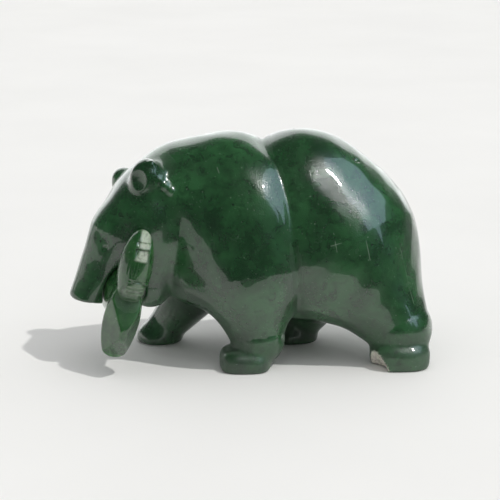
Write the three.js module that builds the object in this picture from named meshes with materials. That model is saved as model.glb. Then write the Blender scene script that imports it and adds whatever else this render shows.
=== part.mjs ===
// Walking bear carved in dark green nephrite jade, with a paler jade fish held across its open mouth.
// Millimetres. The bear walks towards -X with its left side towards -Y, and stands on its four soles at Z = 0.
// Each form below is a smooth distance field. The forms are blended into one field, and the surface where that
// field is zero becomes the closed mesh.
import * as THREE from "three";

// The whole carving
const STANDING_POINT = [-0.9, -1.09, 0]; // the point on the ground, midway along and across, that is the origin
const BELLY_HEIGHT = 11; // underside of the hindquarters above the ground
const CHEST_HEIGHT = 14; // underside of the forequarters above the ground
const SOLE_ROUNDING = 0.9; // how softly the flat soles meet the paws
const FISH_CLEARANCE = 0.5; // between the fish and the mouth that holds it

// Forequarters: a hump, two shoulders, a near foreleg that stands back and a far one that steps forward
const HUMP = { at: [-6.9, 0, 35.7], radii: [22.8, 19.5, 28.8] };
const NECK = { at: [-18.6, -0.5, 46.4], radii: [16.4, 14.4, 15.6], pitch: 14 };
const NEAR_SHOULDER = { at: [-0.2, -8, 30.5], radii: [17.4, 14.4, 28], pitch: -3 };
const FAR_SHOULDER = { at: [-5, 8.6, 32.5], radii: [14.6, 14, 26.5] };
const NEAR_FORELEG = { from: [-2.2, -9.6, 24], to: [0.2, -14.2, 8], thick: 13.4, thin: 7.6 };
const FAR_FORELEG = { from: [-9.5, 10, 25], to: [-24.5, 12.3, 5], thick: 10.5, thin: 5.6 };
const NEAR_FOREPAW = { at: [-3.6, -15.6, 1.6], half: [7, 7.2, 4.6] };
const FAR_FOREPAW = { at: [-27, 12.8, 1], radii: [6.6, 6.6, 5.5] };

// Hindquarters: a rounded back, a rump, and two thighs that run down into the hind legs
const LOIN = { at: [13.5, 0, 35], radii: [24.9, 19.2, 30] };
const RUMP = { at: [25.4, 0, 29.5], radii: [21, 20.2, 25] };
const NEAR_THIGH = { from: [27.8, -3.4, 29.5], to: [40.4, -13.6, 10], thick: 17.2, thin: 9.2 };
const FAR_THIGH = { from: [23, 5.5, 31], to: [16.2, 11, 9], thick: 17, thin: 7.2 };
const NEAR_HINDPAW = { at: [40.2, -15.8, 2.8], half: [8.2, 8.2, 5.4] };
const FAR_HINDPAW = { at: [12.4, 10.8, 1], radii: [7.4, 6.8, 7] };

// Head, hanging and turned a little towards the left side
const SKULL = { at: [-31.8, -2.6, 41.6], radii: [10.4, 13.6, 16.2], pitch: 24, yaw: 12 };
const CHEEK = { at: [-25.6, -3.8, 36.5], radii: [10.6, 10.4, 14.5], pitch: 8 };
const MUZZLE = { from: [-38, -4.5, 36], to: [-46.5, -6.6, 19], thick: 8.6, thin: 5.9 };
const JAW = { from: [-27.8, -4, 34], to: [-29.9, -6, 21.8], thick: 8.2, thin: 6.2 };
const MOUTH_END = { at: [-41, 0, 17.5], facing: [-0.191, 0, -0.982] }; // cuts nose and chin off flat
const NEAR_EAR = { at: [-30.4, -10.8, 53.8], radii: [4.4, 4.1, 5.3], pitch: 15, yaw: -20 };
const NEAR_EAR_HOLLOW = { at: [-34, -16, 53.2], radii: [3.8, 3.6, 4.8], pitch: 12, yaw: -20 };
const EAR_ROOT = { at: [-26.8, -8.8, 51.4], radii: [6, 4, 4.6] };
const FAR_EAR = { at: [-36, 8.2, 48.2], radii: [3.8, 3.8, 4.9], pitch: -25, yaw: 25 };
const FAR_EAR_HOLLOW = { at: [-39.3, 10.2, 48.6], radii: [2.3, 2.4, 3.4], pitch: -25, yaw: 25 };

// The break along the bottom of the near hind foot's toe
const TOE_CHIP = { at: [25, -21.5, -4], radii: [12, 9, 12] };

// Fish, in its own frame: Y runs along it, from the tail fin at -Y to the head at +Y, and Z is its height
const FISH_FRAME = { at: [-37.2, -6, 22.6], pitch: 15, yaw: 8 };
const FISH_BODY = { at: [-0.3, 3, -1], radii: [5.6, 18, 9] };
const FISH_STEM = { from: [0, -5, -0.5], to: [0, -11.5, -0.5], thick: 4.6, thin: 3.6 };
const TAIL_UPPER = { at: [-0.6, -14.2, 8], radii: [4.7, 5.2, 11], pitch: -2 };
const TAIL_LOWER = { at: [-0.85, -14.2, -7.4], radii: [5, 5.4, 12] };
const TOP_FACET = { at: [-0.7, -17.5, 16], facing: [0.25, -0.78, 0.57] };
const NOTCH_UPPER_FLANK = { at: [0, -16.4, -0.7], facing: [0, -0.33, -0.945] };
const NOTCH_LOWER_FLANK = { at: [0, -16.4, -0.7], facing: [-0.1, -0.92, 0.38] };
const LEFT_FACET = { at: [-3.6, -16.4, -8], facing: [-0.82, -0.55, -0.15] };
const RIGHT_FACET = { at: [2.6, -16.8, -9], facing: [0.8, -0.58, -0.16] };
const LOW_FACET = { at: [-0.85, -17.2, -13.6], facing: [-0.1, -0.7, -0.7] };

const DARK_JADE = new THREE.MeshStandardMaterial({ color: 0x24452c, roughness: 0.15, metalness: 0 });
const PALE_JADE = new THREE.MeshStandardMaterial({ color: 0x4f7d50, roughness: 0.15, metalness: 0 });

const DEGREE = Math.PI / 180;
const TINY = 1e-9;

// Rotation of a form whose own axes are pitched about Y and then yawed about Z
function turned({ pitch = 0, yaw = 0 }) {
  return new THREE.Quaternion().setFromEuler(new THREE.Euler(0, pitch * DEGREE, yaw * DEGREE, "ZYX"));
}

// Points of the outer frame, taken into the frame of a form
function within(form, field) {
  const centre = new THREE.Vector3(...form.at);
  const unturn = turned(form).invert();
  const local = new THREE.Vector3();
  return (p) => field(local.copy(p).sub(centre).applyQuaternion(unturn));
}

function egg(form) {
  const [a, b, c] = form.radii;
  return within(form, (q) => {
    const near = Math.hypot(q.x / a, q.y / b, q.z / c);
    const steep = Math.hypot(q.x / (a * a), q.y / (b * b), q.z / (c * c)) + TINY;
    return (near * (near - 1)) / steep;
  });
}

// A rounded block, between a box and an egg
function paw(form) {
  const [a, b, c] = form.half;
  const least = Math.min(a, b, c);
  return within(form, (q) => {
    const sum = Math.abs(q.x / a) ** 3 + Math.abs(q.y / b) ** 3 + Math.abs(q.z / c) ** 3;
    return (Math.cbrt(sum) - 1) * least;
  });
}

// A rod with round ends that tapers from thick to thin
function limb({ from, to, thick, thin }) {
  const start = new THREE.Vector3(...from);
  const along = new THREE.Vector3(...to).sub(start);
  const offset = new THREE.Vector3();
  return (p) => {
    offset.copy(p).sub(start);
    const t = THREE.MathUtils.clamp(offset.dot(along) / along.lengthSq(), 0, 1);
    return offset.addScaledVector(along, -t).length() - THREE.MathUtils.lerp(thick, thin, t);
  };
}

// The half of space on the side of a plane that it faces
function beyond({ at, facing }) {
  const normal = new THREE.Vector3(...facing).normalize();
  const point = new THREE.Vector3(...at);
  return (p) => point.dot(normal) - p.dot(normal);
}

function below(height) {
  return (p) => p.z - height;
}

function softMin(a, b, reach) {
  const overlap = Math.max(reach - Math.abs(a - b), 0) / reach;
  return Math.min(a, b) - (overlap ** 3 * reach) / 6;
}

// Union whose seams are filled over the given reach
function joined(reach, ...fields) {
  return (p) => fields.map((field) => field(p)).reduce((a, b) => softMin(a, b, reach));
}

// A form with another carved out of it, its rim rounded over the given reach
function carved(reach, field, tool) {
  return (p) => -softMin(-field(p), tool(p), reach);
}

// A form cut flat along each plane, the edges rounded over the given reach
function faceted(reach, field, ...facets) {
  return facets.reduce((form, facet) => carved(reach, form, beyond(facet)), field);
}

function grown(field, amount) {
  return (p) => field(p) - amount;
}

function forequarters() {
  const trunk = joined(7, egg(HUMP), egg(NECK), egg(NEAR_SHOULDER), egg(FAR_SHOULDER));
  const body = carved(12, trunk, below(CHEST_HEIGHT));
  const nearLeg = joined(2, limb(NEAR_FORELEG), paw(NEAR_FOREPAW));
  const farLeg = joined(3, limb(FAR_FORELEG), egg(FAR_FOREPAW));
  return joined(8, body, nearLeg, farLeg);
}

function hindquarters() {
  const trunk = joined(12, egg(LOIN), egg(RUMP));
  const body = carved(12, trunk, below(BELLY_HEIGHT));
  const nearLeg = joined(1.6, limb(NEAR_THIGH), paw(NEAR_HINDPAW));
  const farLeg = joined(3, limb(FAR_THIGH), egg(FAR_HINDPAW));
  return joined(12, body, nearLeg, farLeg);
}

function head() {
  const jaws = joined(5, joined(6, egg(SKULL), egg(CHEEK), limb(MUZZLE)), limb(JAW));
  return faceted(0.9, jaws, MOUTH_END);
}

function ear(form, hollow) {
  return carved(0.8, egg(form), egg(hollow));
}

function fishField() {
  const body = joined(4, egg(FISH_BODY), limb(FISH_STEM));
  const upperLobe = faceted(0.8, egg(TAIL_UPPER), TOP_FACET, NOTCH_UPPER_FLANK);
  const lowerLobe = faceted(0.5, egg(TAIL_LOWER), NOTCH_LOWER_FLANK, LEFT_FACET, RIGHT_FACET, LOW_FACET);
  const fin = joined(0.6, upperLobe, lowerLobe);
  return within(FISH_FRAME, joined(2.5, body, fin));
}

function bearField() {
  const body = joined(0.8, forequarters(), hindquarters());
  const withHead = joined(3, body, head());
  const rooted = joined(4, withHead, egg(EAR_ROOT));
  const whole = joined(3.6, rooted, ear(NEAR_EAR, NEAR_EAR_HOLLOW), ear(FAR_EAR, FAR_EAR_HOLLOW));
  const gripping = carved(1.2, whole, grown(fishField(), FISH_CLEARANCE));
  const broken = carved(0.3, gripping, egg(TOE_CHIP));
  return carved(SOLE_ROUNDING, broken, below(0));
}

// Grid lines from low to high, a step apart that changes with the place
function gridLines(low, high, stepAt) {
  const lines = [low];
  while (lines.at(-1) < high) lines.push(lines.at(-1) + stepAt(lines.at(-1)));
  return lines;
}

// Moves a point along the field's slope until it lies where the field is zero
function settle(point, field) {
  const reach = 0.05;
  const slope = new THREE.Vector3();
  const probe = new THREE.Vector3();
  for (let round = 0; round < 6; round++) {
    const here = field(point);
    for (const axis of ["x", "y", "z"]) {
      probe.copy(point)[axis] += reach;
      slope[axis] = (field(probe) - here) / reach;
    }
    point.addScaledVector(slope, -here / (slope.lengthSq() + TINY));
  }
  return point;
}

const STEPS = [[1, 0, 0], [0, 1, 0], [0, 0, 1]];

// The grid points inside the form, kept by their place in one array
function sampled(field, xs, ys, zs) {
  const inside = new Uint8Array(xs.length * ys.length * zs.length);
  const p = new THREE.Vector3();
  const at = (i, j, k) => (k * ys.length + j) * xs.length + i;
  zs.forEach((z, k) => ys.forEach((y, j) => xs.forEach((x, i) => {
    inside[at(i, j, k)] = field(p.set(x, y, z)) < 0 ? 1 : 0;
  })));
  return { inside, at, size: [xs.length, ys.length, zs.length] };
}

function forEachInner([nx, ny, nz], visit) {
  for (let k = 1; k < nz - 1; k++)
    for (let j = 1; j < ny - 1; j++)
      for (let i = 1; i < nx - 1; i++) visit(i, j, k);
}

// Where two inside points touch only across the diagonal of a grid square, its other corners are filled,
// so that the surface never meets itself along an edge
function fillDiagonals({ inside, at, size }) {
  let filled = 0;
  forEachInner(size, (i, j, k) => STEPS.forEach((u, axis) => {
    const v = STEPS[(axis + 1) % 3];
    const a = at(i, j, k);
    const b = at(i + u[0], j + u[1], k + u[2]);
    const c = at(i + v[0], j + v[1], k + v[2]);
    const d = at(i + u[0] + v[0], j + u[1] + v[1], k + u[2] + v[2]);
    if (inside[a] !== inside[d] || inside[b] !== inside[c] || inside[a] === inside[b]) return;
    for (const corner of [a, b, c, d]) inside[corner] = 1;
    filled++;
  }));
  return filled;
}

// The closed surface where the field is zero: one vertex in each grid cell that the surface crosses, and a
// four-sided face around each grid edge that it crosses
function skin(field, xs, ys, zs) {
  const grid = sampled(field, xs, ys, zs);
  while (fillDiagonals(grid) > 0);

  const points = [];
  const cells = new Map();
  const vertexOf = (i, j, k) => {
    const cell = grid.at(i, j, k);
    if (!cells.has(cell)) {
      cells.set(cell, points.length);
      points.push(new THREE.Vector3((xs[i] + xs[i + 1]) / 2, (ys[j] + ys[j + 1]) / 2, (zs[k] + zs[k + 1]) / 2));
    }
    return cells.get(cell);
  };

  const faces = [];
  forEachInner(grid.size, (i, j, k) => STEPS.forEach((step, axis) => {
    const here = grid.inside[grid.at(i, j, k)];
    if (here === grid.inside[grid.at(i + step[0], j + step[1], k + step[2])]) return;
    const u = STEPS[(axis + 1) % 3];
    const v = STEPS[(axis + 2) % 3];
    const corner = (a, b) => vertexOf(i - a * u[0] - b * v[0], j - a * u[1] - b * v[1], k - a * u[2] - b * v[2]);
    const ring = [corner(1, 1), corner(0, 1), corner(0, 0), corner(1, 0)];
    faces.push(here ? ring : ring.reverse());
  }));

  relax(points, faces, field);
  return geometryOf(points, faces);
}

// Evens out the spacing of the vertices, each time back onto the surface
function relax(points, faces, field) {
  const neighbours = points.map(() => new Set());
  for (const face of faces)
    face.forEach((a, n) => {
      const b = face[(n + 1) % 4];
      neighbours[a].add(b);
      neighbours[b].add(a);
    });
  points.forEach((point) => settle(point, field));
  for (let round = 0; round < 3; round++) {
    const middles = neighbours.map((set) => {
      const middle = new THREE.Vector3();
      for (const n of set) middle.add(points[n]);
      return middle.divideScalar(set.size);
    });
    points.forEach((point, n) => settle(point.lerp(middles[n], 0.5), field));
  }
}

function geometryOf(points, faces) {
  const flat = 0.02; // a sole's vertices this close to the ground are set on it
  const position = points.flatMap((p) => [p.x, p.y, Math.abs(p.z) < flat ? 0 : p.z]);
  const index = faces.flatMap(([a, b, c, d]) =>
    points[a].distanceTo(points[c]) < points[b].distanceTo(points[d]) ? [a, b, c, a, c, d] : [b, c, d, b, d, a],
  );
  const geometry = new THREE.BufferGeometry();
  geometry.setAttribute("position", new THREE.Float32BufferAttribute(position, 3));
  geometry.setIndex(index);
  geometry.computeVertexNormals();
  return geometry;
}

// Grid step that grows from the head to the trunk
function stepAlong(x) {
  const [headEnd, trunkStart] = [-26, -6];
  return THREE.MathUtils.mapLinear(THREE.MathUtils.clamp(x, headEnd, trunkStart), headEnd, trunkStart, 2, 3);
}

function bear() {
  const xs = gridLines(-56, 54, stepAlong);
  const ys = gridLines(-28, 28, () => 2.4);
  const zs = gridLines(-4, 69, (z) => (z < 10 || z > 48 ? 2.1 : 2.7));
  const mesh = new THREE.Mesh(skin(bearField(), xs, ys, zs), DARK_JADE);
  mesh.name = "bear";
  return mesh;
}

function fish() {
  const step = () => 2;
  const xs = gridLines(-52, -22, step);
  const ys = gridLines(-32, 22, step);
  const zs = gridLines(-1, 48, step);
  const mesh = new THREE.Mesh(skin(fishField(), xs, ys, zs), PALE_JADE);
  mesh.name = "fish";
  return mesh;
}

const figurine = new THREE.Group();
figurine.add(bear(), fish());
figurine.position.set(...STANDING_POINT).negate();

export default figurine;
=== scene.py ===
"""A walking bear of dark green nephrite jade, with a paler jade fish across its open mouth.

The bear and the fish are the same smooth distance fields as the solids of the frame, meshed finely here
and carved with the relief that the solids leave out. Forms are given in millimetres, with +X from the
nose to the rump, -Y towards the viewer and +Z up.
"""
import math

import bpy
import numpy as np
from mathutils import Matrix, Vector


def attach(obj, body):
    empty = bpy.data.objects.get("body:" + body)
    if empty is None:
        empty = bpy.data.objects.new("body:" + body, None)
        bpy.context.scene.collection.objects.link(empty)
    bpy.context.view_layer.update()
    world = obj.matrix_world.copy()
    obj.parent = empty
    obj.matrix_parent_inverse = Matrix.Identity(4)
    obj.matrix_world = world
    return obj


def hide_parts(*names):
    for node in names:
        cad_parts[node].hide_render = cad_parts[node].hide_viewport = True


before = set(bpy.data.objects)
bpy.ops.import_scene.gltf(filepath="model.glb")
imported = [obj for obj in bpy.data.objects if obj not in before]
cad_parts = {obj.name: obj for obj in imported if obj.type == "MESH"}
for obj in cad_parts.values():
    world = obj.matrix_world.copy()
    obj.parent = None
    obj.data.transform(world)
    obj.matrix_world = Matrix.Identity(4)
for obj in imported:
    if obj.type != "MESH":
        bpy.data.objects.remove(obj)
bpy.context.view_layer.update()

MM = 0.001
STANDING_POINT = np.array([-0.9, -1.09, 0])  # the object's origin, in the frame of the forms

# The whole carving
BELLY_HEIGHT = 11
CHEST_HEIGHT = 14
SOLE_ROUNDING = 0.9
FISH_CLEARANCE = 0.35

# Forequarters
HUMP = dict(at=(-6.9, 0, 35.7), radii=(22.8, 19.5, 28.8))
NECK = dict(at=(-18.6, -0.5, 46.4), radii=(16.4, 14.4, 15.6), pitch=14)
NEAR_SHOULDER = dict(at=(-0.2, -8, 30.5), radii=(17.4, 14.4, 28), pitch=-3)
FAR_SHOULDER = dict(at=(-5, 8.6, 32.5), radii=(14.6, 14, 26.5))
NEAR_FORELEG = dict(start=(-2.2, -9.6, 24), end=(0.2, -14.2, 8), thick=13.4, thin=7.6)
FAR_FORELEG = dict(start=(-9.5, 10, 25), end=(-24.5, 12.3, 5), thick=10.5, thin=5.6)
NEAR_FOREPAW = dict(at=(-3.6, -15.6, 1.6), half=(7, 7.2, 4.6))
FAR_FOREPAW = dict(at=(-27, 12.8, 1), radii=(6.6, 6.6, 5.5))

# Hindquarters
LOIN = dict(at=(13.5, 0, 35), radii=(24.9, 19.2, 30))
RUMP = dict(at=(25.4, 0, 29.5), radii=(21, 20.2, 25))
NEAR_THIGH = dict(start=(27.8, -3.4, 29.5), end=(40.4, -13.6, 10), thick=17.2, thin=9.2)
FAR_THIGH = dict(start=(23, 5.5, 31), end=(16.2, 11, 9), thick=17, thin=7.2)
NEAR_HINDPAW = dict(at=(40.2, -15.8, 2.8), half=(8.2, 8.2, 5.4))
FAR_HINDPAW = dict(at=(12.4, 10.8, 1), radii=(7.4, 6.8, 7))

# Head
SKULL = dict(at=(-31.8, -2.6, 41.6), radii=(10.4, 13.6, 16.2), pitch=24, yaw=12)
CHEEK = dict(at=(-25.6, -3.8, 36.5), radii=(10.6, 10.4, 14.5), pitch=8)
MUZZLE = dict(start=(-38, -4.5, 36), end=(-46.5, -6.6, 19), thick=8.6, thin=5.9)
JAW = dict(start=(-27.8, -4, 34), end=(-29.9, -6, 21.8), thick=8.2, thin=6.2)
MOUTH_END = dict(at=(-41, 0, 17.5), facing=(-0.191, 0, -0.982))  # cuts nose and chin off flat
NEAR_EAR = dict(at=(-30.4, -10.8, 53.8), radii=(4.4, 4.1, 5.3), pitch=15, yaw=-20)
NEAR_EAR_HOLLOW = dict(at=(-34, -16, 53.2), radii=(3.8, 3.6, 4.8), pitch=12, yaw=-20)
EAR_ROOT = dict(at=(-26.8, -8.8, 51.4), radii=(6, 4, 4.6))
FAR_EAR = dict(at=(-36, 8.2, 48.2), radii=(3.8, 3.8, 4.9), pitch=-25, yaw=25)
FAR_EAR_HOLLOW = dict(at=(-39.3, 10.2, 48.6), radii=(2.3, 2.4, 3.4), pitch=-25, yaw=25)

# The break along the bottom of the near hind foot's toe
TOE_CHIP = dict(at=(25, -21.5, -4), radii=(12, 9, 12))

# Fish, in its own frame: Y runs along it, from the tail fin at -Y to the head at +Y
FISH_FRAME = dict(at=(-37.2, -6, 22.6), pitch=15, yaw=8)
FISH_BODY = dict(at=(-0.3, 3, -1), radii=(5.6, 18, 9))
FISH_STEM = dict(start=(0, -5, -0.5), end=(0, -11.5, -0.5), thick=4.6, thin=3.6)
TAIL_UPPER = dict(at=(-0.6, -14.2, 8), radii=(4.7, 5.2, 11), pitch=-2)
TAIL_LOWER = dict(at=(-0.85, -14.2, -7.4), radii=(5, 5.4, 12))
TOP_FACET = dict(at=(-0.7, -17.5, 16), facing=(0.25, -0.78, 0.57))
NOTCH_UPPER_FLANK = dict(at=(0, -16.4, -0.7), facing=(0, -0.33, -0.945))
NOTCH_LOWER_FLANK = dict(at=(0, -16.4, -0.7), facing=(-0.1, -0.92, 0.38))
LEFT_FACET = dict(at=(-3.6, -16.4, -8), facing=(-0.82, -0.55, -0.15))
RIGHT_FACET = dict(at=(2.6, -16.8, -9), facing=(0.8, -0.58, -0.16))
LOW_FACET = dict(at=(-0.85, -17.2, -13.6), facing=(-0.1, -0.7, -0.7))

# Relief that the solids leave out
EYE_PIT = dict(at=(-42.3, -13.2, 34.4), radii=(1.1, 1.1, 0.9))
BACK_PIT = dict(at=(28.4, -8, 57.4), radii=(1.3, 0.9, 0.8))
EAR_RIDGE = dict(start=(-28.9, -12.9, 57.9), end=(-26.2, -12, 55.2), thick=0.9, thin=0.7)
EAR_BUMPS = [(-26.8, -13, 53.4), (-25.2, -13.3, 51.8), (-23.6, -13.6, 50.4)]
EAR_BUMP_RADIUS = 1.1
POLISH_WAVES = 7  # uneven hand polish: ripples in many directions
POLISH_DEPTH = 0.028
POLISH_LENGTHS = (5, 12)

# Engraving on the tail fin's face, which is the fin's side towards -Y in the fish's frame. Widths are
# along X there and heights along Z.
FACE_START = -12
RIBS = dict(step=1.05, depth=0.1, width=(-2.4, 3), height=(0.9, 5.6))
ARCH = dict(middle=(0.3, 1.6), radius=3.5, breadth=0.6, depth=0.3, height=(0.6, 9))
STROKES = dict(step=0.8, depth=0.05, width=(-3.8, -0.6), height=(6.8, 11))
# Blocks stepped like shingles up the fin: bottom, top, and slope inwards
BLOCKS = [(11, 14.1, 0.3), (14.1, 15.9, 0.25), (15.9, 19.6, 0.06)]
BLOCKS_WIDTH = (-2.3, 1.3)
# Painted highlight and painted reflection, as a pale matter colour: a painted highlight on the strip over
# the upper blocks and on the wedge that widens below it, and a painted reflection under the arch
HIGHLIGHT_STRIP = dict(width=(-1.5, 1.3), height=(14.4, 18.8))
HIGHLIGHT_WEDGE = dict(width=(-2.3, 1.2), height=(11, 14), taper=0.5)
REFLECTION_UNDER_ARCH = dict(height=(0.9, 6), share=0.3)

# Scratches on the bear's near side, each from one end to the other
SCRATCH_WIDTH = 0.16
BEAR_SCRATCHES = [
    ((39.7, -17.2, 33.6), (43.9, -19.5, 16)), ((20.8, -21.5, 37.5), (21.3, -22, 34.5)),
    ((19.7, -21.6, 36.1), (22.7, -21.8, 37)), ((-13, -19.1, 42.8), (-12.4, -18.8, 45)),
    ((-12.4, -18.8, 45), (-11, -18.9, 46.4)), ((-9.7, -18.9, 47.5), (-6.2, -19.6, 47.3)),
    ((-11, -13.4, 56.9), (-10.5, -14.6, 55.5)), ((29.4, -21.1, 37.5), (30.5, -21.7, 32))]


# Forms. Each is a function from an array of points to their signed distances.

def turned(pitch, yaw):
    """Turn about Y by the pitch, then about Z by the yaw, both in degrees."""
    a, b = np.radians([pitch, yaw])
    about_y = np.array([[np.cos(a), 0, np.sin(a)], [0, 1, 0], [-np.sin(a), 0, np.cos(a)]])
    about_z = np.array([[np.cos(b), -np.sin(b), 0], [np.sin(b), np.cos(b), 0], [0, 0, 1]])
    return about_z @ about_y


def within(field, at, pitch=0, yaw=0):
    centre = np.array(at, float)
    turn = turned(pitch, yaw)
    return lambda p: field((p - centre) @ turn)


def egg(at, radii, pitch=0, yaw=0):
    r = np.array(radii, float)

    def field(q):
        scaled = q / r
        near = np.sqrt((scaled * scaled).sum(1))
        scaled /= r
        return near * (near - 1) / (np.sqrt((scaled * scaled).sum(1)) + 1e-9)

    return within(field, at, pitch, yaw)


def paw(at, half):
    """A boxy, rounded form between an ellipsoid and a block."""
    h = np.array(half, float)
    return within(lambda q: (np.cbrt((np.abs(q / h) ** 3).sum(1)) - 1) * h.min(), at)


def limb(start, end, thick, thin):
    """A round form that tapers from one radius to the other."""
    a = np.array(start, float)
    along = np.array(end, float) - a

    def field(p):
        offset = p - a
        t = np.clip(offset @ along / (along @ along), 0, 1)
        offset -= t[:, None] * along
        return np.sqrt((offset * offset).sum(1)) - (thick + (thin - thick) * t)

    return field


def beyond(at, facing):
    """The half of space on the side of a plane that it faces."""
    normal = np.array(facing, float)
    normal /= np.linalg.norm(normal)
    level = np.array(at, float) @ normal
    return lambda p: level - p @ normal


def below(height):
    return lambda p: p[:, 2] - height


def soft_min(a, b, reach):
    """The lesser of two distances, rounded off where they differ by less than the reach."""
    overlap = np.maximum(reach - np.abs(a - b), 0) / reach
    return np.minimum(a, b) - overlap ** 3 * reach / 6


def joined(reach, *fields):
    def field(p):
        least = fields[0](p)
        for other in fields[1:]:
            least = soft_min(least, other(p), reach)
        return least
    return field


def carved(reach, field, tool):
    return lambda p: -soft_min(-field(p), tool(p), reach)


def faceted(reach, field, *facets):
    for facet in facets:
        field = carved(reach, field, beyond(**facet))
    return field


def grown(field, amount):
    return lambda p: field(p) - amount


def forequarters():
    trunk = joined(7, egg(**HUMP), egg(**NECK), egg(**NEAR_SHOULDER), egg(**FAR_SHOULDER))
    body = carved(12, trunk, below(CHEST_HEIGHT))
    near_leg = joined(2, limb(**NEAR_FORELEG), paw(**NEAR_FOREPAW))
    far_leg = joined(3, limb(**FAR_FORELEG), egg(**FAR_FOREPAW))
    return joined(8, body, near_leg, far_leg)


def hindquarters():
    trunk = joined(12, egg(**LOIN), egg(**RUMP))
    body = carved(12, trunk, below(BELLY_HEIGHT))
    near_leg = joined(1.6, limb(**NEAR_THIGH), paw(**NEAR_HINDPAW))
    far_leg = joined(3, limb(**FAR_THIGH), egg(**FAR_HINDPAW))
    return joined(12, body, near_leg, far_leg)


def head():
    jaws = joined(5, joined(6, egg(**SKULL), egg(**CHEEK), limb(**MUZZLE)), limb(**JAW))
    return faceted(0.9, jaws, MOUTH_END)


def ear(form, hollow):
    return carved(0.8, egg(**form), egg(**hollow))


def fish_field():
    body = joined(4, egg(**FISH_BODY), limb(**FISH_STEM))
    upper_lobe = faceted(0.8, egg(**TAIL_UPPER), TOP_FACET, NOTCH_UPPER_FLANK)
    lower_lobe = faceted(0.5, egg(**TAIL_LOWER), NOTCH_LOWER_FLANK, LEFT_FACET, RIGHT_FACET, LOW_FACET)
    fin = joined(0.6, upper_lobe, lower_lobe)
    return within(joined(2.5, body, fin), **FISH_FRAME)


def uneven(field):
    """A form with low ripples all over, as the hand polish leaves them."""
    rng = np.random.default_rng(5)
    ways = rng.normal(size=(POLISH_WAVES, 3))
    lengths = np.linalg.norm(ways, axis=1) * rng.uniform(*POLISH_LENGTHS, POLISH_WAVES)
    ways *= 2 * np.pi / lengths[:, None]
    return lambda p: field(p) + POLISH_DEPTH * np.sin(p @ ways.T).sum(1)


def span(value, low, high, blur=0.5):
    """1 between low and high, falling to 0 over the blur at either end."""
    return np.clip(np.minimum(value - low, high - value) / blur + 0.5, 0, 1)


def area(x, z, width, height):
    """1 within a width and a height, and 0 beyond them."""
    return span(x, *width) * span(z, *height)


def ripple(value, step, depth):
    return depth * np.cos(2 * np.pi * value / step)


def on_face(y, fade):
    """1 well within the tail fin's face, falling to 0 where the face starts."""
    return np.clip((FACE_START - y) / fade, 0, 1)


def from_arch_middle(x, z):
    across, up = ARCH["middle"]
    return np.hypot(x - across, z - up)


def tail_relief(q):
    """Depth of the lines cut into the face of the tail fin, from points in the fish's frame."""
    x, y, z = q.T
    ribs = ripple(z, RIBS["step"], RIBS["depth"]) * area(x, z, RIBS["width"], RIBS["height"])
    from_arch = np.abs(from_arch_middle(x, z) - ARCH["radius"])
    arch = ARCH["depth"] * np.clip(1 - from_arch / ARCH["breadth"], 0, 1) * span(z, *ARCH["height"])
    steps = sum(steep * (z - low) * span(z, low, high, 0.3) for low, high, steep in BLOCKS)
    blocks = steps * span(x, *BLOCKS_WIDTH)
    strokes = ripple(x, STROKES["step"], STROKES["depth"]) * area(x, z, STROKES["width"], STROKES["height"])
    return (ribs + arch + blocks + strokes) * on_face(y, fade=3)


def carved_fish_field():
    plain = fish_field()
    relief = within(tail_relief, **FISH_FRAME)
    return lambda p: plain(p) + relief(p)


def toe_break(p):
    """1 on the broken face of the toe, and 0 a little beside it."""
    beside = 0.12
    return 1.5 - np.abs(egg(**TOE_CHIP)(p)) / beside


def painted_highlight_on_tail(q):
    """The share of painted highlight and painted reflection, a pale matter colour, on the face of the tail
    fin, from points in the fish's frame.
    """
    x, y, z = q.T
    side_blur = 0.6
    highlight_strip = span(x, *HIGHLIGHT_STRIP["width"], side_blur) * span(z, *HIGHLIGHT_STRIP["height"])
    left, right = HIGHLIGHT_WEDGE["width"]
    narrowed = HIGHLIGHT_WEDGE["taper"] * (z - HIGHLIGHT_WEDGE["height"][0])
    highlight_wedge = span(x, left + narrowed, right, side_blur) * span(z, *HIGHLIGHT_WEDGE["height"])
    inside_arch = np.clip((ARCH["radius"] - from_arch_middle(x, z)) / 0.8, 0, 1)
    reflection_under_arch = REFLECTION_UNDER_ARCH["share"] * inside_arch * span(z, *REFLECTION_UNDER_ARCH["height"])
    return np.maximum(np.maximum(highlight_strip, highlight_wedge), reflection_under_arch) * on_face(y, fade=2)


def bear_field():
    body = joined(0.8, forequarters(), hindquarters())
    with_head = joined(3, body, head())
    rooted = joined(4, with_head, egg(**EAR_ROOT))
    whole = joined(3.6, rooted, ear(NEAR_EAR, NEAR_EAR_HOLLOW), ear(FAR_EAR, FAR_EAR_HOLLOW))
    bumps = [egg(at, (EAR_BUMP_RADIUS,) * 3) for at in EAR_BUMPS]
    eared = joined(1.4, whole, limb(**EAR_RIDGE), *bumps)
    pitted = carved(0.4, carved(0.4, uneven(eared), egg(**EYE_PIT)), egg(**BACK_PIT))
    gripping = carved(1.2, pitted, grown(fish_field(), FISH_CLEARANCE))
    broken = carved(0.3, gripping, egg(**TOE_CHIP))
    return carved(SOLE_ROUNDING, broken, below(0))


# Meshing

AXES = np.eye(3)
CORNERS = [(a, b, c) for a in (0, 1) for b in (0, 1) for c in (0, 1)]


def grid_lines(low, high, step_at):
    """Places from low to just past high, each a step on from the last."""
    lines = [low]
    while lines[-1] < high:
        lines.append(lines[-1] + step_at(lines[-1]))
    return np.array(lines)


def in_slices(field, points, most=200000):
    return np.concatenate([field(points[n:n + most]) for n in range(0, len(points), most)])


def slope(field, points, reach=0.05):
    """The field's gradient, from both sides of each point."""
    sides = [field(points + reach * axis) - field(points - reach * axis) for axis in AXES]
    return np.stack(sides, 1) / (2 * reach)


def settle(points, field, rounds):
    """Points moved along the field's slope until they lie where it is zero."""
    for _ in range(rounds):
        here = field(points)
        steep = slope(field, points)
        points = points - steep * (here / ((steep * steep).sum(1) + 1e-9))[:, None]
    return points


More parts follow.
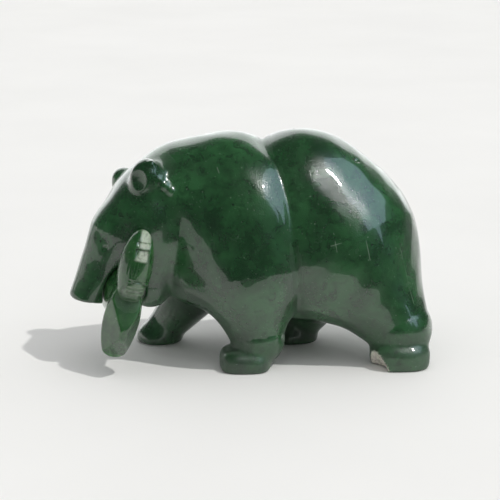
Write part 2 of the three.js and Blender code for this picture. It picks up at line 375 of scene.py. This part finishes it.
def fill_diagonals(inside):
    """Fills each grid square whose inside corners touch only across a diagonal, so that the surface never
    meets itself along an edge. True if one was found."""
    for u in range(3):
        v = (u + 1) % 3
        low_u, high_u = [slice(None)] * 3, [slice(None)] * 3
        low_v, high_v = [slice(None)] * 3, [slice(None)] * 3
        low_u[u] = low_v[v] = slice(None, -1)
        high_u[u] = high_v[v] = slice(1, None)
        a = inside[tuple(low_u)][tuple(low_v)]
        b = inside[tuple(high_u)][tuple(low_v)]
        c = inside[tuple(low_u)][tuple(high_v)]
        d = inside[tuple(high_u)][tuple(high_v)]
        crossed = (a == d) & (b == c) & (a != b)
        if crossed.any():
            for corner in (a, b, c, d):
                corner[crossed] = True
            return True
    return False


def skin(field, xs, ys, zs):
    """Vertices and four-sided faces of the surface where the field is zero."""
    grid = np.stack(np.meshgrid(xs, ys, zs, indexing="ij"), -1).reshape(-1, 3)
    inside = (in_slices(field, grid) < 0).reshape(len(xs), len(ys), len(zs))
    while fill_diagonals(inside):
        continue
    size = np.array(inside.shape) - 1
    count = sum(inside[a:a + size[0], b:b + size[1], c:c + size[2]].astype(int) for a, b, c in CORNERS)
    crossed = (count > 0) & (count < len(CORNERS))
    number = np.full(crossed.shape, -1)
    number[crossed] = np.arange(crossed.sum())
    cells = np.argwhere(crossed)
    lines = (xs, ys, zs)
    middles = [(lines[n][cells[:, n]] + lines[n][cells[:, n] + 1]) / 2 for n in range(3)]
    points = np.stack(middles, 1)

    faces = []
    for n in range(3):
        here = np.moveaxis(inside, n, 0)[:, 1:-1, 1:-1]
        around = np.moveaxis(number, n, 0)
        changed = here[:-1] != here[1:]
        ring = np.stack([around[:, :-1, :-1][changed], around[:, 1:, :-1][changed],
                         around[:, 1:, 1:][changed], around[:, :-1, 1:][changed]], 1)
        # np.moveaxis keeps the order of the other two axes, which is against the turn for the middle one
        outward = here[:-1][changed] != (n == 1)
        faces.append(np.where(outward[:, None], ring, ring[:, ::-1]))
    return points, np.concatenate(faces)


def relaxed(points, faces, field, rounds):
    """Vertices spaced evenly over the surface."""
    points = settle(points, field, 5)
    starts = faces.ravel()
    ends = np.roll(faces, -1, axis=1).ravel()
    share = np.bincount(starts, minlength=len(points)) + np.bincount(ends, minlength=len(points))
    for _ in range(rounds):
        middles = np.empty_like(points)
        for n in range(3):
            total = np.bincount(starts, points[ends, n], len(points))
            total += np.bincount(ends, points[starts, n], len(points))
            middles[:, n] = total / share
        points = settle((points + middles) / 2, field, 2)
    return points


def shade_value(mesh, name, values):
    """A value at each vertex for the material to read."""
    layer = mesh.attributes.new(name, "FLOAT", "POINT")
    layer.data.foreach_set("value", np.clip(values, 0, 1).astype(np.float32))


def carved_piece(name, field, bare_or_highlight_share, xs, ys, zs, material, replaced):
    """A piece meshed from its field. Another field gives the share of bare stone at each point: the broken
    toe on the bear, and on the fish a painted highlight and a painted reflection.
    """
    points, faces = skin(field, xs, ys, zs)
    points = relaxed(points, faces, field, 4)
    normals = slope(field, points)
    normals /= np.linalg.norm(normals, axis=1)[:, None]
    # How enclosed each point is, from 0 in the open to 1 deep in a groove
    open_way = 8
    enclosed = 1 - field(points + open_way * normals) / open_way
    mesh = bpy.data.meshes.new(name)
    mesh.from_pydata(((points - STANDING_POINT) * MM).tolist(), [], faces.tolist())
    mesh.polygons.foreach_set("use_smooth", np.ones(len(faces), bool))
    mesh.normals_split_custom_set_from_vertices(normals.tolist())
    shade_value(mesh, "groove", enclosed)
    shade_value(mesh, "bare_or_highlight_share", bare_or_highlight_share(points))
    mesh.materials.append(material)
    piece = bpy.data.objects.new(name, mesh)
    bpy.context.collection.objects.link(piece)
    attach(piece, "root")
    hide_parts(replaced)
    return piece


# Materials

def node(tree, kind, inputs=None, **settings):
    """A node with its inputs either linked, where they are sockets, or set to plain values."""
    made = tree.nodes.new(kind)
    for key, value in settings.items():
        setattr(made, key, value)
    for key, value in (inputs or {}).items():
        if isinstance(value, bpy.types.NodeSocket):
            tree.links.new(value, made.inputs[key])
        else:
            made.inputs[key].default_value = value
    return made


def new_material(name):
    material = bpy.data.materials.new(name)
    material.use_nodes = True
    material.node_tree.nodes.clear()
    return material


def ramp(tree, factor, *stops):
    """A colour for each value of the factor, from stops of a value and its colour."""
    made = node(tree, "ShaderNodeValToRGB", {"Fac": factor})
    elements = made.color_ramp.elements
    while len(elements) < len(stops):
        elements.new(0.5)
    for element, (place, colour) in zip(elements, stops):
        element.position = place
        element.color = (*colour, 1)
    return made.outputs["Color"]


def grey(level):
    return (level, level, level)


def noise(tree, place, scale, detail=4, roughness=0.55, distortion=0):
    made = node(tree, "ShaderNodeTexNoise", {
        "Vector": place, "Scale": scale, "Detail": detail, "Roughness": roughness, "Distortion": distortion})
    return made.outputs["Fac"]


def math_node(tree, operation, first, second=0.0, clamp=False):
    made = node(tree, "ShaderNodeMath", {0: first, 1: second}, operation=operation, use_clamp=clamp)
    return made.outputs["Value"]


def mixed(tree, factor, first, second):
    """The first colour, giving way to the second as the factor goes from 0 to 1."""
    made = node(tree, "ShaderNodeMix", data_type="RGBA")
    for index, value in ((0, factor), (6, first), (7, second)):
        if isinstance(value, bpy.types.NodeSocket):
            tree.links.new(value, made.inputs[index])
        else:
            made.inputs[index].default_value = value if index == 0 else (*value, 1)
    return made.outputs[2]


def vector_node(tree, operation, first, second=(0, 0, 0), **inputs):
    made = node(tree, "ShaderNodeVectorMath", {0: first, 1: second, **inputs}, operation=operation)
    return made.outputs["Value" if operation in ("DOT_PRODUCT", "LENGTH") else "Vector"]


def scratch_mask(tree, place, start, end):
    """1 within a hair's breadth of the line from start to end, both in the frame of the forms."""
    a = (np.array(start) - STANDING_POINT) * MM
    along = (np.array(end) - STANDING_POINT) * MM - a
    offset = vector_node(tree, "SUBTRACT", place, tuple(a))
    reached = vector_node(tree, "DOT_PRODUCT", offset, tuple(along))
    share = math_node(tree, "DIVIDE", reached, float(along @ along), clamp=True)
    foot = vector_node(tree, "SCALE", tuple(along), Scale=share)
    distance = vector_node(tree, "LENGTH", vector_node(tree, "SUBTRACT", offset, foot))
    widths_away = math_node(tree, "DIVIDE", distance, SCRATCH_WIDTH * MM)
    return ramp(tree, widths_away, (0.4, grey(1)), (1, grey(0)))


BLACK_FLECK = (0.003, 0.009, 0.005)
PALE_FLECK = (0.25, 0.32, 0.25)
FROST = (0.16, 0.17, 0.16)
SCRATCHED = (0.30, 0.38, 0.30)
SCRATCH_STRENGTH = 0.35


def vertex_value(tree, name):
    return node(tree, "ShaderNodeAttribute", attribute_name=name).outputs["Fac"]


def strength(tree, factor, low, high):
    """A plain number for each value of the factor, from two stops of a value and its number."""
    return ramp(tree, factor, (low[0], grey(low[1])), (high[0], grey(high[1])))


def bump(tree, height, amount, depth):
    made = node(tree, "ShaderNodeBump", {"Strength": amount, "Distance": depth, "Height": height})
    return made.outputs["Normal"]


def mottled(tree, place, deep, pale):
    """Green clouds and blotches with dark and pale flecks."""
    clouds = noise(tree, place, 75, detail=7, roughness=0.62, distortion=0.4)
    colour = ramp(tree, clouds, (0.36, deep), (0.62, pale))
    blotches = noise(tree, place, 330, detail=4, roughness=0.6, distortion=0.6)
    colour = mixed(tree, strength(tree, blotches, (0.50, 0), (0.66, 0.75)), colour, deep)
    flecks = noise(tree, place, 900, detail=2)
    colour = mixed(tree, strength(tree, flecks, (0.69, 0), (0.74, 0.7)), colour, BLACK_FLECK)
    dust = noise(tree, place, 1700, detail=1)
    return mixed(tree, strength(tree, dust, (0.74, 0), (0.78, 0.5)), colour, PALE_FLECK)


def jade(name, deep, pale, bare_or_highlight, clear, depth, scratches=()):
    """Polished nephrite, mottled between a deep and a pale colour, of a bare colour where the stone is
    broken, and of a pale colour painted as a highlight and a reflection on the fish's tail. The polish is a
    clear coat over a grainy body, and both are matter in the grooves."""
    material = new_material(name)
    tree = material.node_tree
    place = node(tree, "ShaderNodeTexCoord").outputs["Object"]
    groove = vertex_value(tree, "groove")
    bare_or_highlight_share = vertex_value(tree, "bare_or_highlight_share")

    body = mottled(tree, place, deep, pale)
    frost = noise(tree, place, 1100, detail=3, roughness=0.7)
    frosted = math_node(tree, "MULTIPLY", strength(tree, groove, (0.15, 0), (0.6, 0.4)), frost)
    body = mixed(tree, frosted, body, FROST)
    for start, end in scratches:
        mark = math_node(tree, "MULTIPLY", scratch_mask(tree, place, start, end), SCRATCH_STRENGTH)
        body = mixed(tree, mark, body, SCRATCHED)
    # Bare stone colour on the bear's broken toe; on the fish's tail this paints a highlight and a reflection
    # in a pale colour
    half_bare_or_highlight = tuple(level / 2 for level in bare_or_highlight)
    bare_or_painted_highlight = ramp(tree, noise(tree, place, 1300, detail=3), (0.3, half_bare_or_highlight), (0.55, bare_or_highlight))
    body = mixed(tree, bare_or_highlight_share, body, bare_or_painted_highlight)

    matter = math_node(tree, "ADD", strength(tree, groove, (0.12, 0), (0.5, 0.3)),
                       math_node(tree, "MULTIPLY", bare_or_highlight_share, 0.4))
    worn = strength(tree, noise(tree, place, 240, detail=5), (0.4, 0.23), (0.8, 0.30))
    coat = math_node(tree, "MULTIPLY", strength(tree, groove, (0.12, 0.8), (0.5, 0.15)),
                     math_node(tree, "SUBTRACT", 1.0, bare_or_highlight_share))
    grain = bump(tree, noise(tree, place, 3200, detail=1), 0.35, 0.2 * MM)
    polish = bump(tree, noise(tree, place, 170, detail=2), 0.10, 0.3 * MM)

    shader = node(tree, "ShaderNodeBsdfPrincipled", {
        "Base Color": body, "Roughness": math_node(tree, "ADD", matter, worn), "Normal": grain,
        "Subsurface Weight": clear, "Subsurface Radius": (0.4, 1, 0.5), "Subsurface Scale": depth,
        "IOR": 1.55, "Coat Weight": coat, "Coat Roughness": 0.04, "Coat IOR": 1.62, "Coat Normal": polish})
    out = node(tree, "ShaderNodeOutputMaterial", {"Surface": shader.outputs["BSDF"]})
    out.is_active_output = True
    return material


# The carving

def bear_lines():
    """Where the grid's planes cross X, Y and Z: closer along the head than along the trunk."""
    on_head, on_trunk, across = 0.5, 0.66, 0.6
    xs = grid_lines(-54, 51, lambda x: np.interp(x, (-26, -10), (on_head, on_trunk)))
    ys = grid_lines(-27, 26, lambda y: across)
    zs = grid_lines(-2, 66, lambda z: across)
    return xs, ys, zs


def fish_lines():
    return np.arange(-52, -24, 0.32), np.arange(-30, 20, 0.4), np.arange(2, 44, 0.28)


dark_jade = jade("dark_jade", deep=(0.005, 0.034, 0.009), pale=(0.020, 0.095, 0.029),
                 bare_or_highlight=(0.78, 0.75, 0.66), clear=0.2, depth=3 * MM, scratches=BEAR_SCRATCHES)
# The fish's bare colour is the pale colour of its painted highlight and painted reflection
pale_jade = jade("pale_jade", deep=(0.010, 0.060, 0.014), pale=(0.055, 0.17, 0.050),
                 bare_or_highlight=(0.38, 0.44, 0.35), clear=0.5, depth=6 * MM)

bear = carved_piece("jade_bear", bear_field(), toe_break, *bear_lines(), dark_jade, "bear")
# The painted highlight and painted reflection on the fish's tail fin, shown in the fish's pale bare colour
painted_tail_highlights = within(painted_highlight_on_tail, **FISH_FRAME)
fish = carved_piece("jade_fish", carved_fish_field(), painted_tail_highlights, *fish_lines(), pale_jade, "fish")


# Floor

FLOOR_REACH = 4
SHELF_EDGE = -0.088  # the polish mirrors the ground only up to here, in front of the bear


def floor_material():
    """Nearly even off-white."""
    material = new_material("pale_floor")
    tree = material.node_tree
    place = node(tree, "ShaderNodeTexCoord").outputs["Object"]
    darker, lighter = (0.83, 0.83, 0.82), (0.86, 0.86, 0.85)
    tone = ramp(tree, noise(tree, place, 9, detail=3), (0.3, darker), (0.7, lighter))
    shader = node(tree, "ShaderNodeBsdfPrincipled", {"Base Color": tone, "Roughness": 0.75})
    node(tree, "ShaderNodeOutputMaterial", {"Surface": shader.outputs["BSDF"]})
    return material


def floor_part(name, near, far, material):
    """A strip of the ground from one Y to another."""
    left, right = -FLOOR_REACH, FLOOR_REACH
    mesh = bpy.data.meshes.new(name)
    corners = [(left, near, 0), (right, near, 0), (right, far, 0), (left, far, 0)]
    mesh.from_pydata(corners, [], [(0, 1, 2, 3)])
    mesh.materials.append(material)
    part = bpy.data.objects.new(name, mesh)
    bpy.context.collection.objects.link(part)
    return part


pale_floor = floor_material()
floor_part("floor", SHELF_EDGE, FLOOR_REACH, pale_floor)
front_floor = floor_part("front_floor", -FLOOR_REACH, SHELF_EDGE, pale_floor)
front_floor.visible_glossy = False


# Light

def aimed(thing, place, target):
    thing.location = place
    thing.rotation_euler = (Vector(target) - Vector(place)).to_track_quat("-Z", "Y").to_euler()


def direction(azimuth, elevation):
    """A unit vector; the azimuth runs from -Y towards +X."""
    turn, rise = math.radians(azimuth), math.radians(elevation)
    return Vector((math.sin(turn) * math.cos(rise), -math.cos(turn) * math.cos(rise), math.sin(rise)))


def add_lamp(name, light, place):
    """A lamp aimed at the bear's middle."""
    lamp = bpy.data.objects.new(name, light)
    bpy.context.collection.objects.link(lamp)
    aimed(lamp, place, (0, 0, 0.03))
    return lamp


def mirrored_patch(name, outline, glow):
    """A bright patch, given by the directions of its corners, that only the polish mirrors."""
    material = new_material(name)
    light = node(material.node_tree, "ShaderNodeEmission", {"Color": (*glow, 1), "Strength": 1})
    node(material.node_tree, "ShaderNodeOutputMaterial", {"Surface": light.outputs["Emission"]})
    mesh = bpy.data.meshes.new(name)
    corners = [direction(*corner) * PATCH_DISTANCE for corner in outline]
    mesh.from_pydata(corners, [], [tuple(range(len(outline)))])
    mesh.materials.append(material)
    patch = bpy.data.objects.new(name, mesh)
    bpy.context.collection.objects.link(patch)
    patch.visible_camera = patch.visible_diffuse = patch.visible_shadow = False


PATCH_DISTANCE = 1.5
SKY = (1.2, 1.65, 2.0)
LEFT_CARD = (0.9, 0.9, 0.88)
# Outlines of the bright card on the left and of the sky seen past trees, as azimuths and elevations
LEFT_CARD_OUTLINE = [(-125, -12), (-44, -12), (-44, -6), (-75, 7), (-125, 9)]
SKY_OUTLINE = [(36, 48), (46, 58), (70, 62), (92, 54), (101, 44), (93, 35), (84, 37), (77, 27), (68, 31),
               (60, 16), (54, 8), (50, 20), (44, 27), (38, 13), (35, 28), (30, 34)]

sun = bpy.data.lights.new("sun", "SUN")
sun.energy = 1.35
sun.angle = math.radians(1.5)
sun.color = (1, 0.98, 0.95)
sun_lamp = add_lamp("sun", sun, (0.45, -0.25, 0.88))
sun_lamp.visible_glossy = False

# The sun's mirror image in the polish
disc = bpy.data.lights.new("glint", "AREA")
disc.shape = "DISK"
disc.size = 0.06
disc.energy = 6
disc.color = (1, 0.99, 0.97)
glint = add_lamp("glint", disc, direction(39, 50) * 1.2)
glint.visible_diffuse = False

mirrored_patch("sky", SKY_OUTLINE, SKY)
mirrored_patch("left_card", LEFT_CARD_OUTLINE, LEFT_CARD)


# Surroundings

BACKGROUND = 0.905  # as the camera sees it
ROOM = (0.05, 0.06, 0.06)
BACKDROP = (1.7, 1.75, 1.75)
BACKDROP_RISE = 1.32  # height of the bright backdrop over its distance
BACKDROP_RIGHT = 0.95  # its reach to the right over its distance
BACKDROP_LEFT = -0.9
AMBIENT = (0.29, 0.63, 0.22)  # diffuse light from the horizon, more from above, and more from the right


def step_up(tree, value, edge, blur):
    """0 below the edge and 1 above it, the change spread over the blur."""
    past = math_node(tree, "SUBTRACT", value, edge - blur / 2)
    return math_node(tree, "DIVIDE", past, blur, clamp=True)


def step_down(tree, value, edge, blur):
    return math_node(tree, "SUBTRACT", 1.0, step_up(tree, value, edge, blur))


def ambient_light(tree, toward):
    level, more_above, more_right = AMBIENT
    from_above = math_node(tree, "MULTIPLY", math_node(tree, "MAXIMUM", toward["Z"], 0.0), more_above)
    from_right = math_node(tree, "MULTIPLY", toward["X"], more_right)
    soft = math_node(tree, "ADD", math_node(tree, "ADD", from_above, from_right), level)
    made = node(tree, "ShaderNodeCombineColor", {"Red": soft, "Green": soft, "Blue": soft})
    return made.outputs["Color"]


def mirrored_room(tree, toward):
    """A dim room, with a bright backdrop behind the bear."""
    rise = math_node(tree, "DIVIDE", toward["Z"], toward["Y"])
    run = math_node(tree, "DIVIDE", toward["X"], toward["Y"])
    behind = step_up(tree, toward["Y"], 0.05, 0.05)
    under_top = step_down(tree, rise, BACKDROP_RISE, 0.08)
    between_ends = math_node(tree, "MULTIPLY", step_down(tree, run, BACKDROP_RIGHT, 0.08),
                             step_up(tree, run, BACKDROP_LEFT, 0.2))
    backdrop = math_node(tree, "MULTIPLY", behind, math_node(tree, "MULTIPLY", under_top, between_ends))
    return mixed(tree, backdrop, ROOM, BACKDROP)


def make_world():
    """Pale to the camera, with soft light for the stone's body and a room for its gloss to mirror."""
    world = bpy.data.worlds.new("studio")
    world.use_nodes = True
    tree = world.node_tree
    tree.nodes.clear()
    way = node(tree, "ShaderNodeTexCoord").outputs["Generated"]
    toward = node(tree, "ShaderNodeSeparateXYZ", {"Vector": way}).outputs
    rays = node(tree, "ShaderNodeLightPath").outputs
    around = mixed(tree, rays["Is Glossy Ray"], ambient_light(tree, toward), mirrored_room(tree, toward))
    colour = mixed(tree, rays["Is Camera Ray"], around, grey(BACKGROUND))
    light = node(tree, "ShaderNodeBackground", {"Color": colour, "Strength": 1})
    node(tree, "ShaderNodeOutputWorld", {"Surface": light.outputs["Background"]})
    bpy.context.scene.world = world


make_world()


# Camera

def make_camera():
    distance = 0.48
    target = Vector((-0.0001, 0.00109, 0.030))
    camera = bpy.data.cameras.new("camera")
    camera.sensor_width = 36
    camera.lens = 120.96
    camera.clip_start = 0.01
    view = bpy.data.objects.new("camera", camera)
    bpy.context.collection.objects.link(view)
    aimed(view, target + distance * direction(azimuth=-4, elevation=14), target)
    bpy.context.scene.camera = view


make_camera()
bpy.context.scene.view_settings.view_transform = "Standard"
